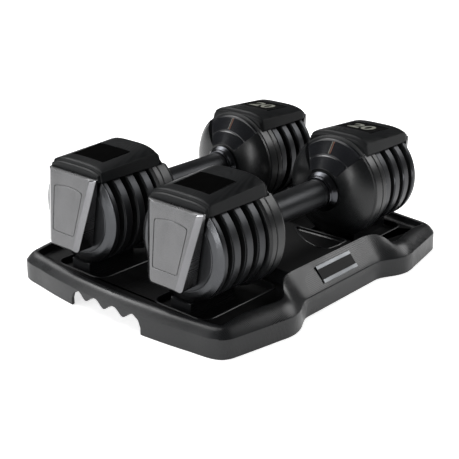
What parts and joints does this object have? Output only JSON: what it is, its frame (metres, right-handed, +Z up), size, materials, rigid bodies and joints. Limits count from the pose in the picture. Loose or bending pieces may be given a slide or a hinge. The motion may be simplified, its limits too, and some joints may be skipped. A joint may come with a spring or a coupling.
{
  "type": "adjustable dumbbell",
  "caption": "Pair of twist-handle adjustable dumbbells with hooded stacks of round plates, resting in a low moulded tray with finger grips.",
  "frame": {"origin": "on the floor, under the middle of the tray", "axes": "+X along the handles, towards the rear ends; +Y across the two dumbbells, towards the left one; +Z up"},
  "size_m": [0.4124, 0.3324, 0.1504],
  "materials": {
    "tray_plastic": "satin moulded ABS, near black",
    "foot_rubber": "soft black rubber",
    "badge_metal": "brushed silver bars round a black panel",
    "housing_plastic": "satin moulded nylon, dark grey",
    "end_cap_paint": "satin gunmetal paint",
    "plate_steel": "black coated steel with a satin rim",
    "handle_metal": "satin black anodised tube",
    "lock_steel": "machined steel",
    "bush_bronze": "sintered bronze",
    "display_gloss": "black gloss window"
  },
  "bodies": {
    "tray": {"tray": "tray_plastic", "left_front_weight_plate_1": "plate_steel", "left_front_weight_plate_2": "plate_steel", "left_front_weight_plate_3": "plate_steel", "left_front_weight_plate_4": "plate_steel", "left_rear_weight_plate_1": "plate_steel", "left_rear_weight_plate_2": "plate_steel", "left_rear_weight_plate_3": "plate_steel", "left_rear_weight_plate_4": "plate_steel", "right_front_weight_plate_1": "plate_steel", "right_front_weight_plate_2": "plate_steel", "right_front_weight_plate_3": "plate_steel", "right_front_weight_plate_4": "plate_steel", "right_rear_weight_plate_1": "plate_steel", "right_rear_weight_plate_2": "plate_steel", "right_rear_weight_plate_3": "plate_steel", "right_rear_weight_plate_4": "plate_steel", "rubber_foot_1": "foot_rubber", "rubber_foot_2": "foot_rubber", "rubber_foot_3": "foot_rubber", "rubber_foot_4": "foot_rubber", "left_badge": "badge_metal", "right_badge": "badge_metal"},
    "left_frame": {"left_front_handle_bush": "bush_bronze", "left_front_inner_housing": "housing_plastic", "left_front_dial_fan": "housing_plastic", "left_front_hood": "housing_plastic", "left_front_display_window": "display_gloss", "left_front_end_cap": "end_cap_paint", "left_rear_handle_bush": "bush_bronze", "left_rear_inner_housing": "housing_plastic", "left_rear_dial_fan": "housing_plastic", "left_rear_hood": "housing_plastic", "left_rear_display_window": "display_gloss", "left_rear_end_cap": "end_cap_paint"},
    "left_handle": {"left_handle_grip": "handle_metal", "left_cam_sleeve": "lock_steel", "left_front_handle_collar": "end_cap_paint", "left_rear_handle_collar": "end_cap_paint"},
    "left_front_bar": {"left_front_lock_bar": "lock_steel"},
    "left_rear_bar": {"left_rear_lock_bar": "lock_steel"},
    "right_frame": {"right_front_handle_bush": "bush_bronze", "right_front_inner_housing": "housing_plastic", "right_front_dial_fan": "housing_plastic", "right_front_hood": "housing_plastic", "right_front_display_window": "display_gloss", "right_front_end_cap": "end_cap_paint", "right_rear_handle_bush": "bush_bronze", "right_rear_inner_housing": "housing_plastic", "right_rear_dial_fan": "housing_plastic", "right_rear_hood": "housing_plastic", "right_rear_display_window": "display_gloss", "right_rear_end_cap": "end_cap_paint"},
    "right_handle": {"right_handle_grip": "handle_metal", "right_cam_sleeve": "lock_steel", "right_front_handle_collar": "end_cap_paint", "right_rear_handle_collar": "end_cap_paint"},
    "right_front_bar": {"right_front_lock_bar": "lock_steel"},
    "right_rear_bar": {"right_rear_lock_bar": "lock_steel"}
  },
  "joints": [
    {"name": "left_lift", "type": "slide", "parent": "tray", "child": "left_frame", "axis": [0, 0, 1], "range_m": [0, 0.15]},
    {"name": "left_handle_twist", "type": "hinge", "parent": "left_frame", "child": "left_handle", "pos_m": [0, 0.075, 0.0874], "axis": [1, 0, 0], "range_deg": [0, 240]},
    {"name": "left_front_bar_slide", "type": "slide", "parent": "left_frame", "child": "left_front_bar", "axis": [-1, 0, 0], "range_m": [0, 0.0732]},
    {"name": "left_rear_bar_slide", "type": "slide", "parent": "left_frame", "child": "left_rear_bar", "axis": [1, 0, 0], "range_m": [0, 0.0732]},
    {"name": "right_lift", "type": "slide", "parent": "tray", "child": "right_frame", "axis": [0, 0, 1], "range_m": [0, 0.15]},
    {"name": "right_handle_twist", "type": "hinge", "parent": "right_frame", "child": "right_handle", "pos_m": [0, -0.075, 0.0874], "axis": [1, 0, 0], "range_deg": [0, 240]},
    {"name": "right_front_bar_slide", "type": "slide", "parent": "right_frame", "child": "right_front_bar", "axis": [-1, 0, 0], "range_m": [0, 0.0732]},
    {"name": "right_rear_bar_slide", "type": "slide", "parent": "right_frame", "child": "right_rear_bar", "axis": [1, 0, 0], "range_m": [0, 0.0732]}
  ],
  "couplings": [
    {"joint": "left_front_bar_slide", "follows": "left_handle_twist", "m_per_rad": 0.017475},
    {"joint": "left_rear_bar_slide", "follows": "left_handle_twist", "m_per_rad": 0.017475},
    {"joint": "right_front_bar_slide", "follows": "right_handle_twist", "m_per_rad": 0.017475},
    {"joint": "right_rear_bar_slide", "follows": "right_handle_twist", "m_per_rad": 0.017475}
  ]
}
